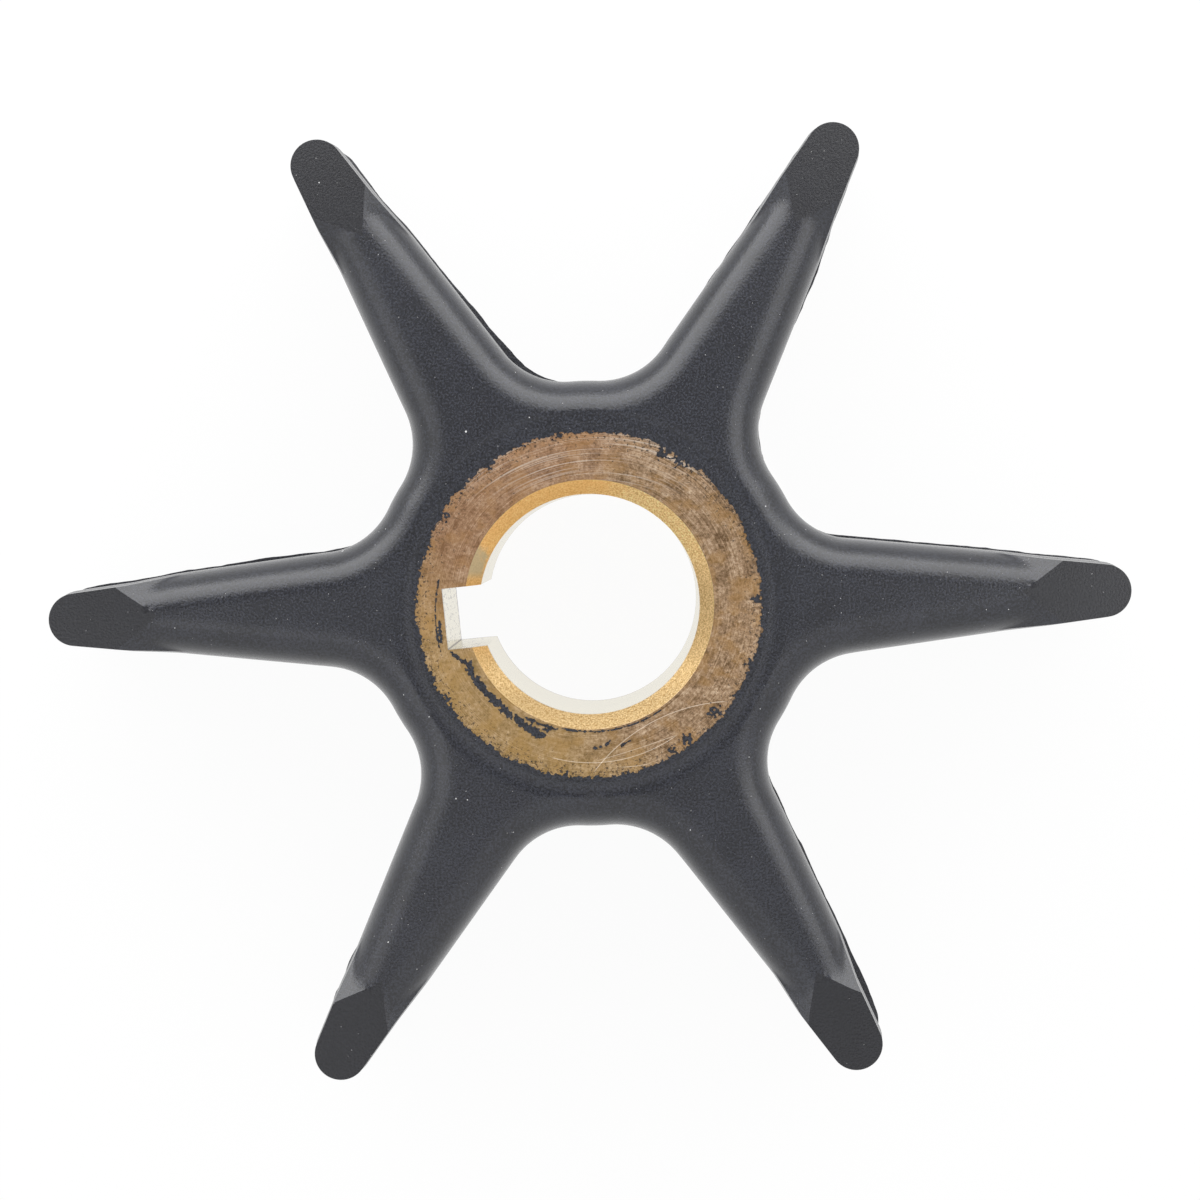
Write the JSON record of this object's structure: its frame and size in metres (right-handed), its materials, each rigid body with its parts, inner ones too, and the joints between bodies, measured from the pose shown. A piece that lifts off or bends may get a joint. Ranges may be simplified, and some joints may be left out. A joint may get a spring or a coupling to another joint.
{
  "type": "rubber pump impeller",
  "caption": "Flexible water-pump impeller: tapered rubber vanes moulded round a turned brass bush with a keyed bore.",
  "frame": {"origin": "centre of the bore on the lower end face", "axes": "+Z along the bore, out of the face that the picture shows; +X along one vane"},
  "size_m": [0.07, 0.061, 0.02],
  "materials": {
    "bush_brass": "turned and tarnished, with concentric tool marks, bright in the bore and on the chamfer",
    "vane_rubber": "satin moulded charcoal black, matte on the lands at the vane tips"
  },
  "bodies": {
    "root": {"brass_bush": "bush_brass", "rubber_body": "vane_rubber"}
  },
  "joints": []
}
